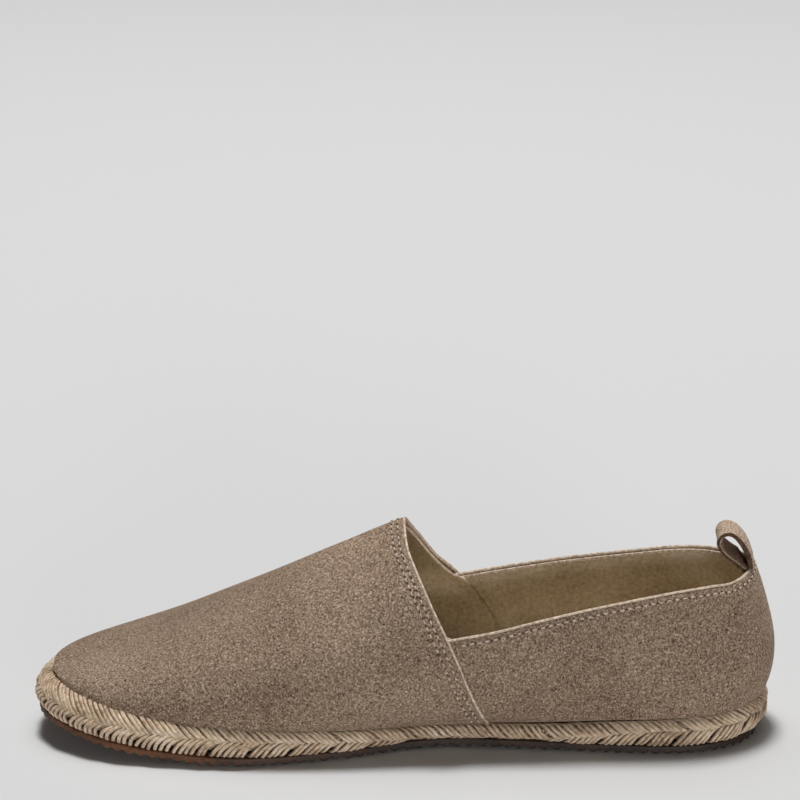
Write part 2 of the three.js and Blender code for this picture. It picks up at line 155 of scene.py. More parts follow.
def heel_tuck(u):
    """How far the sole's bottom edge is drawn in round the back of the heel."""
    return HEEL_TUCK * np.clip(1 - np.asarray(u) / HEEL_END, 0, 1) ** 2


ROUND = 4000  # steps round the outline
ROUND_U = np.concatenate([np.linspace(0, 1, ROUND // 2 + 1), np.linspace(1, 0, ROUND // 2 + 1)[1:]])
ROUND_SIDE = np.where(np.arange(ROUND + 1) <= ROUND // 2, 1, -1)


def distances(line):
    """How far along a line of points each point is."""
    return np.concatenate([[0], np.cumsum(np.linalg.norm(np.diff(line, axis=0), axis=1))])


ROUND_WALK = distances(raw_outline(ROUND_U, ROUND_SIDE))
PERIMETER = ROUND_WALK[-1]


def round_the_sole(s):
    """u and side at a distance s round the sole: heel, inner side, toe, outer side and back to the heel."""
    s = np.mod(s, PERIMETER)
    return np.interp(s, ROUND_WALK, ROUND_U), np.where(s <= ROUND_WALK[ROUND // 2], 1, -1)


def grid(bm, columns, rows, place, close=False):
    """A bmesh grid laid on a surface: place(a, b) gives its points on the last for a and b from 0 to 1.
    The grid keeps a and b as its UVs, and its seams and poles are closed if close is true."""
    made = bmesh.ops.create_grid(bm, x_segments=columns, y_segments=rows, size=0.5)["verts"]
    ab = np.array([v.co for v in made])[:, :2] + 0.5
    where = in_model(place(ab[:, 0], ab[:, 1]))
    uv = bm.loops.layers.uv.verify()
    for v, (a, b), p in zip(made, ab, where):
        v.co = p
        for corner in v.link_loops:
            corner[uv].uv = (a, b)
    if close:
        bmesh.ops.remove_doubles(bm, verts=made, dist=2e-6)


def piece(name, bm, finish):
    """The finished piece: a mesh that rides on the shoe and takes its finish from a slot."""
    bmesh.ops.recalc_face_normals(bm, faces=bm.faces)
    for face in bm.faces:
        face.smooth = True
    mesh = bpy.data.meshes.new(name)
    bm.to_mesh(mesh)
    bm.free()
    made = bpy.data.objects.new(name, mesh)
    bpy.context.scene.collection.objects.link(made)
    made.data.materials.append(finish)
    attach(made, "root")
    return made


def linear(hex_colour):
    """An sRGB hex colour as linear red, green, blue and alpha."""
    parts = [int(hex_colour[i:i + 2], 16) / 255 for i in (1, 3, 5)]
    return [c / 12.92 if c <= 0.04045 else ((c + 0.055) / 1.055) ** 2.4 for c in parts] + [1.0]


def node(tree, kind, links=(), stops=(), **settings):
    """Adds a node. Links are (from, name, to), stops are a colour ramp's (place, hex), and settings are the
    node's properties or its sockets' values."""
    made = tree.nodes.new(kind)
    for key, value in settings.items():
        if hasattr(made, key):
            setattr(made, key, value)
        else:
            made.inputs[key.replace("_", " ")].default_value = value
    for source, output, socket in links:
        tree.links.new(source.outputs[output], made.inputs[socket])
    while stops and len(made.color_ramp.elements) < len(stops):
        made.color_ramp.elements.new(0.5)
    for k, (at, colour) in enumerate(stops):
        made.color_ramp.elements[k].position = at
        made.color_ramp.elements[k].color = linear(colour)
    return made


def material(name, **settings):
    """A material with its tree and its shader, whose uniform values are the settings."""
    made = bpy.data.materials.new(name)
    made.use_nodes = True
    shader = made.node_tree.nodes["Principled BSDF"]
    for key, value in settings.items():
        shader.inputs[key.replace("_", " ")].default_value = value
    return made, made.node_tree, shader


# Vulcanised rubber, moulded: dark brown, dull, with a fine pebble of about 1 mm. Behind the toe it is painted
# darker, as painted shade for the rim lying recessed under the rope at the waist and the heel.
rubber, tree, shader = material("vulcanised_rubber", Roughness=0.62, IOR=1.52)
where = node(tree, "ShaderNodeTexCoord")
pebble = node(tree, "ShaderNodeTexNoise", [(where, "Object", "Vector")], Scale=900.0, Detail=4.0)
cloud = node(tree, "ShaderNodeTexNoise", [(where, "Object", "Vector")], Scale=60.0, Detail=3.0)
both = node(tree, "ShaderNodeMath", [(pebble, "Fac", 0), (cloud, "Fac", 1)], operation="ADD")
mean = node(tree, "ShaderNodeMath", [(both, "Value", 0)], operation="MULTIPLY")
mean.inputs[1].default_value = 0.5
blotch = node(tree, "ShaderNodeValToRGB", [(mean, "Value", "Fac")],
              stops=[(0.36, "#38220f"), (0.5, "#5d381c"), (0.66, "#7a4d2a")])
along = node(tree, "ShaderNodeSeparateXYZ", [(where, "Object", "Vector")])
# Painted shade: the rubber is painted darker from the toe back, where it lies in the rope's shade.
painted_shade_behind_toe = node(tree, "ShaderNodeValToRGB", [(along, "X", "Fac")],
             stops=[(0.0, "#8c8c8c"), (0.03, "#a0a0a0"), (0.085, "#ffffff")])
tint = node(tree, "ShaderNodeMixRGB", [(blotch, "Color", "Color1"), (painted_shade_behind_toe, "Color", "Color2")],
            blend_type="MULTIPLY", Fac=1.0)
tree.links.new(tint.outputs["Color"], shader.inputs["Base Color"])
bump = node(tree, "ShaderNodeBump", [(pebble, "Fac", "Height")], Strength=0.5, Distance=0.0004)
tree.links.new(bump.outputs["Normal"], shader.inputs["Normal"])


def outsole_rim(a, b):
    """The rim's wall, from its top edge down to the teeth and in under them."""
    s = a * PERIMETER
    u, side = round_the_sole(s)
    teeth = round(PERIMETER / TOOTH_PITCH)
    saw = np.abs(2 * np.mod(a * teeth, 1) - 1)
    notch = TOOTH_DEPTH * saw**1.3
    inset = heel_tuck(u) + np.interp(b, [0, 0.15, 0.6, 0.7, 1], [
        LID_INSET, OUTSOLE_INSET, OUTSOLE_INSET - 0.2, OUTSOLE_INSET + 0.3, OUTSOLE_INSET + TOOTH_REACH])
    height = np.interp(b, [0, 0.15, 0.6, 1], [OUTSOLE, OUTSOLE, 0, 0])
    depth = np.interp(b, [0, 0.15, 0.6, 0.75, 1], [0, 0, 1, 0.8, 0])
    p = outline(u, side, inset)
    return np.column_stack([p, underside(p[:, 0]) + height + depth * notch])


def outsole_field(a, b):
    """The underside inside the teeth, with shallow cross ribs."""
    edge = heel_tuck(a) + OUTSOLE_INSET + TOOTH_REACH
    near, far = outline(a, 1, edge), outline(a, -1, edge)
    p = near + (far - near) * b[:, None]
    inside = np.sin(np.pi * b) ** 0.3
    rib = RIB_HEIGHT * inside * (0.5 - 0.5 * np.cos(2 * np.pi * p[:, 0] / RIB_PITCH)) ** 2
    rib *= np.clip(np.minimum(a, 1 - a) / 0.08, 0, 1)
    return np.column_stack([p, underside(p[:, 0]) + rib])


def outsole_lid(a, b):
    """The top of the sheet, under the rope."""
    edge = heel_tuck(a) + LID_INSET
    near, far = outline(a, 1, edge), outline(a, -1, edge)
    p = near + (far - near) * b[:, None]
    return np.column_stack([p, underside(p[:, 0]) + OUTSOLE])


bm = bmesh.new()
grid(bm, 1100, 14, outsole_rim)
grid(bm, 240, 20, outsole_field)
grid(bm, 120, 4, outsole_lid)
bmesh.ops.remove_doubles(bm, verts=bm.verts, dist=3e-6)
outsole = piece("rubber_outsole", bm, rubber)
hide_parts("outsole")

# ---- Rope sole ----------------------------------------------------------------------------------
# The body of the sole is coiled jute, and its edge is a flat three-strand plait of jute, sewn on all round.
# The plait's upper row faces up and out, its lower row rolls under, and at the waist it all turns under.
# Jute: pale golden fibres twisted into yarn, dry and matt, with darker flecks and shade between the yarns.
jute, tree, shader = material("plaited_jute", Roughness=0.8, IOR=1.45)
shader.inputs["Sheen Weight"].default_value = 0.12
shader.inputs["Sheen Roughness"].default_value = 0.5
where = node(tree, "ShaderNodeTexCoord")
# Fibres: in bundles drawn 2.7 mm long and 0.6 mm across, where the real ones are about 0.1 mm.
along = node(tree, "ShaderNodeMapping", [(where, "UV", "Vector")], Scale=(320.0, 9.0, 1.0))
fibre = node(tree, "ShaderNodeTexNoise", [(along, "Vector", "Vector")], Scale=1.0, Detail=3.0)
fleck = node(tree, "ShaderNodeTexNoise", [(where, "Object", "Vector")], Scale=700.0, Detail=3.0)
tone = node(tree, "ShaderNodeTexNoise", [(where, "Object", "Vector")], Scale=70.0, Detail=2.0)
flecked = node(tree, "ShaderNodeMath", [(fibre, "Fac", 0), (fleck, "Fac", 1)], operation="ADD")
toned = node(tree, "ShaderNodeMath", [(flecked, "Value", 0), (tone, "Fac", 1)], operation="ADD")
mean = node(tree, "ShaderNodeMath", [(toned, "Value", 0)], operation="MULTIPLY")
mean.inputs[1].default_value = 1 / 3
tint = node(tree, "ShaderNodeValToRGB", [(mean, "Value", "Fac")],
            stops=[(0.38, "#93795f"), (0.46, "#c0a68b"), (0.54, "#dac2a6"), (0.64, "#f0e0cc")])
round_it = node(tree, "ShaderNodeSeparateXYZ", [(where, "UV", "Vector")])
from_top = node(tree, "ShaderNodeMath", [(round_it, "Y", 0)], operation="SUBTRACT")
from_top.inputs[1].default_value = 0.25
beside = node(tree, "ShaderNodeMath", [(from_top, "Value", 0)], operation="ABSOLUTE")
# Painted shade between the yarns: each yarn darkens down its sides, where v round it is away from a quarter.
painted_groove_shade = node(tree, "ShaderNodeValToRGB", [(beside, "Value", "Fac")],
            stops=[(0.08, "#ffffff"), (0.2, "#b3a597"), (0.3, "#5f5347")])
groove_shaded = node(tree, "ShaderNodeMixRGB", [(tint, "Color", "Color1"), (painted_groove_shade, "Color", "Color2")],
             blend_type="MULTIPLY", Fac=1.0)
tree.links.new(groove_shaded.outputs["Color"], shader.inputs["Base Color"])
bump = node(tree, "ShaderNodeBump", [(fibre, "Fac", "Height")], Strength=0.6, Distance=0.0003)
tree.links.new(bump.outputs["Normal"], shader.inputs["Normal"])

ROPE_LOW = OUTSOLE + 0.3
PERIODS = 15  # times each strand goes over and back on its way round
STRANDS = 3
YARNS = 6
YARN = 0.87  # yarn radius
YARN_STEP = 2.38  # yarns of a strand lie this far apart along the sole
SWING_DOWN = 10.5  # how far a strand swings below the plait's middle line; above, it swings to the upper
STEEP = 0.2  # how much steeper it runs in the rows than at the middle line
LIFT = 1.05  # how far it rises and dives at a crossing
LAP = 0.7  # how far a strand on its way down lies over one on its way up
SLANT = (0.25, 0.55)  # how far the plait is drawn forward for each mm up, and how far at the toe
TIGHT = 0.1  # how much a strand narrows where it crosses the middle line
DOME = 0.5  # and how much it rounds up there
PLAIT_DEPTH = 1.75  # the plait's middle surface, inside its outer face

# Height of the plait's middle line above the rope's bottom: u, mm. It drops at the waist.
MIDDLE = np.array([
    [0.00, 6.0],
    [0.13, 5.9],
    [0.20, 5.2],
    [0.28, 4.4],
    [0.33, 2.7],
    [0.38, 1.0],
    [0.44, 0.5],
    [0.50, 1.0],
    [0.56, 2.8],
    [0.64, 5.2],
    [0.78, 5.6],
    [0.90, 5.6],
    [1.00, 5.6],
])
LOWEST = 0.95  # and it stays this far above the rope's bottom
# How far the plait's upper row stands above the upper's foot: u, mm.
ROLL = np.array([
    [0.00, 1.2],
    [0.12, 1.2],
    [0.20, 0.6],
    [0.28, 0.0],
    [0.44, -0.2],
    [0.56, 0.0],
    [0.64, 0.6],
    [0.72, 1.6],
    [0.80, 2.2],
    [0.88, 2.5],
    [1.00, 2.5],
])
UNDER = 1.6  # how far the plait's upper edge runs in under the upper
FINE = 121  # stations and steps of the plait's sections
REACH_UP, REACH_DOWN = 16.0, 12.0  # how far the sections are drawn above and below the middle line


def plait_section(u):
    """The plait's middle surface in section at u, as inset and height from the top to underneath, and how far
    a strand swings above the middle line there."""
    tall, feather = column(PLAN, HEIGHT, u), column(PLAN, FEATHER, u)
    rope = tall - ROPE_LOW
    roll = float(column(ROLL, 1, u))
    tuck = float(heel_tuck(u))
    corners = np.array([
        [feather + 9.0, tall - 3.6],
        [feather + 2.5, tall - 2.2 + 0.5 * roll],
        [0.62 * feather + 1.5, tall - 1.9 + roll],
        [2.6, ROPE_LOW + 0.7 * rope + 0.4 * roll],
        [PLAIT_DEPTH + 0.4 * tuck, ROPE_LOW + 0.42 * rope],
        [2.3 + 0.8 * tuck, ROPE_LOW + 0.2 * rope],
        [4.4 + tuck, ROPE_LOW + 0.8],
        [16.0 + tuck, ROPE_LOW + 0.6],
    ])
    line = corners
    for _ in range(3):  # the corners are cut three times over to round them
        cut = np.stack([0.75 * line[:-1] + 0.25 * line[1:], 0.25 * line[:-1] + 0.75 * line[1:]], 1)
        line = np.concatenate([line[:1], cut.reshape(-1, 2), line[-1:]])
    walk = distances(line)
    level = ROPE_LOW + max(LOWEST, float(column(MIDDLE, 1, u)))
    side = np.argmax(line[:, 0] <= line[:, 0].min() + 0.35)
    here = walk[side:][np.argmax(line[side:, 1] <= level)]
    under_upper = np.interp(-feather - UNDER, -line[:side + 1, 0], walk[:side + 1])
    steps = here + np.linspace(-REACH_UP, REACH_DOWN, FINE)
    return (np.column_stack([np.interp(steps, walk, line[:, 0]), np.interp(steps, walk, line[:, 1])]),
            here - under_upper)


STATIONS = np.linspace(0, 1, FINE)
drawn = [plait_section(u) for u in STATIONS]
SECTIONS = np.array([points for points, _ in drawn])
SWING_UP = np.array([swing for _, swing in drawn])


def section_point(u, v):
    """Inset and height on the plait's middle surface at v mm below its middle line."""
    i = u * (FINE - 1)
    j = np.clip((v + REACH_UP) / (REACH_UP + REACH_DOWN), 0, 1) * (FINE - 1)
    i0, j0 = np.minimum(i.astype(int), FINE - 2), np.minimum(j.astype(int), FINE - 2)
    fi, fj = (i - i0)[..., None], (j - j0)[..., None]
    return ((1 - fi) * ((1 - fj) * SECTIONS[i0, j0] + fj * SECTIONS[i0, j0 + 1])
            + fi * ((1 - fj) * SECTIONS[i0 + 1, j0] + fj * SECTIONS[i0 + 1, j0 + 1]))


def plait_point(s, v, out):
    """A point of the plait, at s round the sole, v below its middle line and out from its middle surface."""
    u, side = round_the_sole(s)
    step = 0.3
    here = section_point(u, v)
    slope = section_point(u, v + step) - section_point(u, v - step)
    slope /= np.maximum(np.linalg.norm(slope, axis=-1, keepdims=True), 1e-9)
    p = outline(u, side, here[..., 0] + slope[..., 1] * out)
    z = underside(p[..., 0]) + here[..., 1] - slope[..., 0] * out
    return np.concatenate([p, z[..., None]], -1)


rng = np.random.default_rng(5)
SAMPLES = 30 * PERIODS  # steps along a yarn


def yarn(strand, offset, wander, radius):
    """A yarn's tube round the sole. The strands cross in turn, and each shows where it leaves the middle
    line towards the toe on the inner side."""
    def centre(a):
        turn = 2 * np.pi * (a * PERIODS + strand / STRANDS)
        tight = np.cos(turn) ** 8
        s = a * PERIMETER + offset * (1 - TIGHT * tight) + 0.25 * np.sin(1.7 * turn + wander[0])
        swing = (np.sin(turn) - STEEP * np.sin(3 * turn)) / (1 + STEEP)
        up = np.interp(round_the_sole(s)[0], STATIONS, SWING_UP)
        v = -np.where(swing > 0, up, SWING_DOWN) * swing + 0.15 * np.sin(2.3 * turn + wander[1])
        out = LIFT * np.sin(2 * turn) - LAP * np.cos(turn) ** 3
        out = out + DOME * tight * (1 - (2 * offset / (YARNS * YARN_STEP)) ** 2)
        slant = SLANT[0] + (SLANT[1] - SLANT[0]) * np.clip((round_the_sole(s)[0] - 0.7) / 0.15, 0, 1)
        return s - slant * v, v, out + 0.12 * np.sin(3.1 * turn + wander[2]) + wander[3]

    def tube(a, b):
        s, v, out = centre(a)
        p = plait_point(s, v, out)
        above = plait_point(s, v, out + 0.2) - p
        step = 2e-5
        ahead, back = plait_point(*centre(a + step)), plait_point(*centre(a - step))
        along = ahead - back
        along /= np.maximum(np.linalg.norm(along, axis=1, keepdims=True), 1e-9)
        above -= along * np.einsum("ij,ij->i", above, along)[:, None]
        above /= np.maximum(np.linalg.norm(above, axis=1, keepdims=True), 1e-9)
        beside = np.cross(along, above)
        ring = 2 * np.pi * b
        return p + radius * (above * np.sin(ring)[:, None] + beside * np.cos(ring)[:, None])
    return tube


bm = bmesh.new()
for strand in range(STRANDS):
    for j in range(YARNS):
        wander = np.append(rng.uniform(0, 6.28, 3), rng.uniform(-0.12, 0.12))
        radius = YARN * rng.uniform(0.93, 1.07)
        grid(bm, SAMPLES, 7, yarn(strand, (j - (YARNS - 1) / 2) * YARN_STEP, wander, radius))
bmesh.ops.remove_doubles(bm, verts=bm.verts, dist=2e-7)
piece("jute_plait", bm, jute)
CORE_DEPTH = 1.5  # the coiled body, inside the plait's middle surface


def core_skin(a, b):
    """The coiled body under the plait, just inside it."""
    down = -REACH_UP + (REACH_UP + REACH_DOWN) * b
    return plait_point(a * PERIMETER, down, np.full_like(a, -CORE_DEPTH))


# The same jute, painted dark as painted shade where it lies in the shade of the plait, in blots of about 2
# mm.
shaded_jute, tree, shader = material("coiled_jute", Roughness=0.95)
where = node(tree, "ShaderNodeTexCoord")
fibre = node(tree, "ShaderNodeTexNoise", [(where, "Object", "Vector")], Scale=500.0, Detail=4.0)
tint = node(tree, "ShaderNodeValToRGB", [(fibre, "Fac", "Fac")],
            stops=[(0.35, "#2e2115"), (0.6, "#5d4a36")])
tree.links.new(tint.outputs["Color"], shader.inputs["Base Color"])

bm = bmesh.new()
grid(bm, 300, 24, core_skin)
bmesh.ops.remove_doubles(bm, verts=bm.verts, dist=2e-7)
bmesh.ops.holes_fill(bm, edges=[e for e in bm.edges if e.is_boundary], sides=0)
core = piece("coiled_jute_core", bm, shaded_jute)
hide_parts("midsole")

# ---- The last -----------------------------------------------------------------------------------
# The upper and its linings are drawn over one last. Each rib is a cubic curve from the feather line, where
# the upper meets the rope, to the crest over the foot.

# u; how far the rib bulges out at the foot and rises there; how far it reaches out from the crest and drops
# there; how far the inner side leans out; the crest's place along and across; and its height.
LAST = np.array([
    [0.00, 13.2, 20.0, 16.0, 2.0, 0.0, 29.5, 0.0, 82.0],
    [0.08, 11.6, 20.0, 17.0, 2.0, 0.0, 27.0, 0.0, 82.0],
    [0.16, 8.4, 20.0, 20.0, 2.0, 0.0, 19.0, 0.0, 82.0],
    [0.24, 6.5, 19.0, 25.0, 2.0, 0.0, 9.0, 0.0, 82.0],
    [0.32, 7.5, 16.0, 29.0, 3.0, 0.5, 2.0, -0.5, 82.0],
    [0.40, 10.5, 13.0, 31.0, 4.0, 3.5, 0.0, -1.5, 79.2],
    [0.48, 13.5, 14.0, 28.0, 6.0, 7.0, 0.0, -3.0, 74.5],
    [0.56, 8.0, 20.0, 29.0, 5.0, 5.0, 0.0, -5.0, 57.4],
    [0.64, 3.0, 19.0, 31.0, 3.0, 1.0, 0.0, -6.0, 38.1],
    [0.72, 2.0, 12.0, 27.0, 1.5, 0.0, 0.0, -6.5, 21.7],
    [0.80, 1.2, 7.5, 21.0, 0.8, 0.0, 0.0, -5.5, 9.8],
    [0.88, 0.8, 4.0, 12.5, 0.4, 0.0, 0.0, -3.5, 4.5],
    [0.94, 0.4, 2.0, 6.0, 0.2, 0.0, 0.0, -1.2, 2.2],
    [1.00, 0.0, 0.0, 0.0, 0.0, 0.0, 0.0, 0.0, 0.0],
])
BULGE, RISE, REACH, DROP, LEAN, LEAD, SIDE, CREST = range(1, 9)
LOW_TOE = 8.0  # under this height the crest's linings are drawn closer together
# The topline seen from the side: x, z, and how far x and z move for each mm towards the inner side.
COLLAR = np.array([
    [-8.0, 68.5, 0.06, -0.08],
    [7.5, 66.9, 0.06, -0.08],
    [10.5, 64.9, 0.06, -0.06],
    [14.0, 63.6, 0.06, -0.03],
    [19.0, 62.5, 0.06, -0.005],
    [26.0, 62.4, 0.06, 0.015],
    [39.0, 61.2, 0.06, 0.027],
    [50.0, 59.5, 0.06, 0.027],
    [66.0, 56.9, 0.06, 0.012],
    [80.0, 54.4, 0.06, 0.003],
    [94.0, 51.5, 0.06, 0.0],
    [107.0, 48.6, 0.06, -0.004],
    [123.1, 45.5, 0.097, 0.004],
])
VAMP_EDGE = np.array([
    [104.5, 0.0, 0.06, 0.0],
    [110.8, 13.0, 0.06, 0.0],
    [116.8, 27.2, 0.06, 0.0],
    [119.6, 36.0, 0.075, 0.0],
    [123.1, 45.5, 0.097, 0.004],
    [129.9, 55.2, 0.04, 0.0],
    [137.0, 68.2, 0.031, 0.0],
    [140.4, 75.0, 0.05, 0.0],
    [142.4, 84.0, 0.06, 0.0],
])
EDGE_X, EDGE_Z, EDGE_SKEW, EDGE_TILT = range(4)


def last(u, side, w, inside):
    """A point of the upper: w is 0 on the feather line and 1 on the crest; inside moves the skin inwards."""
    u, side, w, inside = np.broadcast_arrays(np.asarray(u, float), side, np.asarray(w, float), inside)
    inset = column(PLAN, FEATHER, u) + inside
    foot, other = outline(u, side, inset), outline(u, -side, inset)
    n = outward(u, side)
    z = underside(raw_outline(u, side)[..., 0]) + column(PLAN, HEIGHT, u)
    crest = np.maximum(0, column(LAST, CREST, u))
    moved = inside * np.sqrt(np.minimum(1, crest / LOW_TOE))
    lean = np.where(side > 0, column(LAST, LEAN, u), 0)
    reach = (np.maximum(0, column(LAST, REACH, u) - moved) + lean)[..., None]
    bulge = (column(LAST, BULGE, u) + lean)[..., None]
    p0 = np.concatenate([foot, z[..., None]], -1)
    middle = (foot[..., 0] + other[..., 0]) / 2
    p3 = np.stack([middle + column(LAST, LEAD, u), column(LAST, SIDE, u), z + crest - moved], -1)
    p1 = np.concatenate([foot + n * bulge, (z + column(LAST, RISE, u))[..., None]], -1)
    p2 = np.concatenate([p3[..., :2] + n * reach, (p3[..., 2] - column(LAST, DROP, u))[..., None]], -1)
    w = w[..., None]
    return (1 - w) ** 3 * p0 + 3 * w * (1 - w) ** 2 * p1 + 3 * w**2 * (1 - w) * p2 + w**3 * p3


def above_collar(p, lower=0.0):
    """How far a point is above the collar's line."""
    y = p[..., 1]
    x = np.clip(p[..., 0], -8, 140)
    x = np.clip(x - column(COLLAR, EDGE_SKEW, x) * y, -8, 124)
    return p[..., 2] - column(COLLAR, EDGE_TILT, x) * y - column(COLLAR, EDGE_Z, x) + lower


BY_HEIGHT = VAMP_EDGE[:, [EDGE_Z, EDGE_X, EDGE_SKEW]]


def ahead_of_vamp_edge(p, edge=BY_HEIGHT):
    """How far a point is ahead of the vamp's back edge."""
    z = np.clip(p[..., 2], 0, 90)
    return p[..., 0] - column(edge, 2, z) * p[..., 1] - column(edge, 1, z)


def solve(measure, low, high, steps=36):
    """Where a measure that rises from low to high crosses zero, by halving."""
    low, high = np.array(low, float), np.array(high, float)
    for _ in range(steps):
        middle = (low + high) / 2
        over = measure(middle) > 0
        high, low = np.where(over, middle, high), np.where(over, low, middle)
    return (low + high) / 2


WIDE = 401
RIBS = np.linspace(0, 1, WIDE)


def vamp_edge_table(inside, back, edge=BY_HEIGHT):
    """u along the vamp's back edge for each w and side, with the edge moved back."""
    return {side: solve(lambda u: ahead_of_vamp_edge(last(u, side, RIBS, inside), edge) + back,
                        np.full(WIDE, 0.3), np.full(WIDE, 0.62)) for side in (1, -1)}


def collar_table(inside, lower):
    """w along the collar for each u and side."""
    stations = np.linspace(0, 0.56, WIDE)
    return stations, {side: solve(lambda w: above_collar(last(stations, side, w, inside), lower),
                                  np.full(WIDE, 0.12), np.full(WIDE, 0.93)) for side in (1, -1)}


# ---- Footbed ------------------------------------------------------------------------------------
# A thin foam footbed covered in the lining's canvas, dished a little from side to side and glued on the rope.
# Cotton canvas: olive brown, plain weave, matt. The threads are 0.5 mm apart; they are drawn at 0.9 mm.
def woven(name, shade_by_height):
    """The canvas, with painted shade that darkens it at heights given in metres."""
    cloth, tree, shader = material(name, Roughness=0.92, IOR=1.46)
    shader.inputs["Sheen Weight"].default_value = 0.1
    where = node(tree, "ShaderNodeTexCoord")
    mottle = node(tree, "ShaderNodeTexNoise", [(where, "Object", "Vector")], Scale=700.0, Detail=3.0)
    cloud = node(tree, "ShaderNodeTexNoise", [(where, "Object", "Vector")], Scale=38.0, Detail=3.0)
    warp = node(tree, "ShaderNodeTexWave", [(where, "Object", "Vector")], bands_direction="X", Scale=350.0,
                Distortion=1.5, Detail=1.0)
    weft = node(tree, "ShaderNodeTexWave", [(where, "Object", "Vector")], bands_direction="Z", Scale=350.0,
                Distortion=1.5, Detail=1.0)
    weave = node(tree, "ShaderNodeMath", [(warp, "Fac", 0), (weft, "Fac", 1)], operation="MULTIPLY")
    both = node(tree, "ShaderNodeMath", [(mottle, "Fac", 0), (cloud, "Fac", 1)], operation="ADD")
    mean = node(tree, "ShaderNodeMath", [(both, "Value", 0)], operation="MULTIPLY")
    mean.inputs[1].default_value = 0.5
    dye = node(tree, "ShaderNodeValToRGB", [(mean, "Value", "Fac")],
               stops=[(0.36, "#ae9a7e"), (0.5, "#cdbb9f"), (0.64, "#e2d4bd")])
    height = node(tree, "ShaderNodeSeparateXYZ", [(where, "Object", "Vector")])
    shade = node(tree, "ShaderNodeValToRGB", [(height, "Z", "Fac")], stops=shade_by_height)
    tint = node(tree, "ShaderNodeMixRGB", [(dye, "Color", "Color1"), (shade, "Color", "Color2")],
                blend_type="MULTIPLY", Fac=1.0)
    tree.links.new(tint.outputs["Color"], shader.inputs["Base Color"])
    bump = node(tree, "ShaderNodeBump", [(weave, "Value", "Height")], Strength=0.35, Distance=0.0003)
    tree.links.new(bump.outputs["Normal"], shader.inputs["Normal"])
    return cloth


# Painted shade: the canvas is painted a little darker above 35 mm.
canvas = woven("cotton_canvas", [(0.035, "#ffffff"), (0.06, "#f0f0f0")])
FOOTBED = 4.0  # its top, above the rope
FOAM = 3.0
DISH = 1.6
FOOTBED_GAP = (3.2, 3.0)  # from the upper's foot to the footbed's edge, and how much more at the toe


def footbed_top(a, b):
    """The footbed's top, from the inner side to the outer."""
    edge = column(PLAN, FEATHER, a) + FOOTBED_GAP[0] + FOOTBED_GAP[1] * np.clip((a - 0.7) / 0.25, 0, 1)
    near, far = outline(a, 1, edge), outline(a, -1, edge)
    p = near + (far - near) * b[:, None]
    across = 2 * b - 1
    dish = DISH * across**2 - 1.0
    rim = -0.8 * np.clip((np.abs(across) - 0.94) / 0.06, 0, 1) ** 2
    low_toe = np.clip((1 - a) / 0.12, 0, 1)
    tall = column(PLAN, HEIGHT, a)
    return np.column_stack([p, underside(p[:, 0]) + tall + (FOOTBED + dish) * low_toe + rim])


bm = bmesh.new()
grid(bm, 120, 24, footbed_top, close=True)
footbed = piece("canvas_footbed", bm, canvas)
foam = footbed.modifiers.new("foam", "SOLIDIFY")
foam.thickness = FOAM / 1000
foam.offset = -1.0
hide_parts("insole")

# ---- Linings ------------------------------------------------------------------------------------
# Canvas linings follow the inside of the upper. The quarters' lining goes in first, and the vamp's lining
# laps over it with its back edge running down from the corner of the throat.
QUARTER_GAP = 1.75  # the quarters' lining, inside the quarters' outer face
VAMP_GAP = 2.5  # and the vamp's lining, which laps over it
LINING = 0.55
TOPLINE_STEP = 1.45  # the lining's edge lies this far below the suede's
LAP_LEVEL = 0.2  # w where the quarters' ends are measured from the vamp's edge


def quarters_surface(inside, lower, front=0.04):
    """The quarters, whose strip runs back from under the vamp on the inner side, round the heel, and forward
    under it on the outer side. Its ends lie ahead of the vamp's edge by front, and its top below the collar's
    line by lower."""
    stations, tops = collar_table(inside, lower)
    ends = vamp_edge_table(inside, 0.0)
    end = {side: float(np.interp(LAP_LEVEL, RIBS, ends[side])) + front for side in (1, -1)}

    def place(a, b):
        side = np.where(a < 0.5, 1, -1)
        share = np.abs(2 * a - 1)
        u = share * np.where(side > 0, end[1], end[-1])
        top = np.where(side > 0, np.interp(u, stations, tops[1]), np.interp(u, stations, tops[-1]))
        return last(u, side, top * b, inside)
    return place


def vamp_surface(inside, back, foot=0.0, line=BY_HEIGHT):
    """The vamp from its back edge to the toe; a runs forward and b over the foot, inner side first."""
    edge = vamp_edge_table(inside, back, line)

    def place(a, b):
        side = np.where(b < 0.5, 1, -1)
        w = foot + (1 - foot) * (1 - np.abs(2 * b - 1))
        start = np.where(side > 0, np.interp(w, RIBS, edge[1]), np.interp(w, RIBS, edge[-1]))
        return last(start + (1 - start) * a, side, w, inside)
    return place


bm = bmesh.new()
grid(bm, 200, 26, quarters_surface(QUARTER_GAP, TOPLINE_STEP), close=True)
quarter_lining = piece("quarter_lining", bm, canvas)
# The vamp's lining follows the throat just inside its edge, then runs down towards the heel: z, x, skew.
LINING_EDGE = np.array([
    [0.0, 94.0, 0.06],
    [12.0, 98.5, 0.06],
    [21.8, 104.3, 0.06],
    [28.3, 108.0, 0.06],
    [34.7, 112.0, 0.06],
    [43.6, 118.9, 0.07],
    [46.4, 124.85, 0.09],
    [55.2, 130.75, 0.04],
    [68.2, 137.85, 0.031],
    [75.0, 141.25, 0.05],
    [84.0, 143.25, 0.06],
])
bm = bmesh.new()
grid(bm, 130, 120, vamp_surface(VAMP_GAP, 0.0, line=LINING_EDGE), close=True)
# Painted shade: the vamp's lining is painted darker from 39 mm up, most from 49 mm, high inside the toe.
vamp_canvas = woven("vamp_canvas", [(0.039, "#ffffff"), (0.044, "#dacdb6"), (0.049, "#a0957d"),
                                    (0.07, "#a2967d")])
vamp_lining = piece("vamp_lining", bm, vamp_canvas)
for lining in (quarter_lining, vamp_lining):
    cloth = lining.modifiers.new("cloth", "SOLIDIFY")
    cloth.thickness = LINING / 1000
    cloth.offset = 0.0

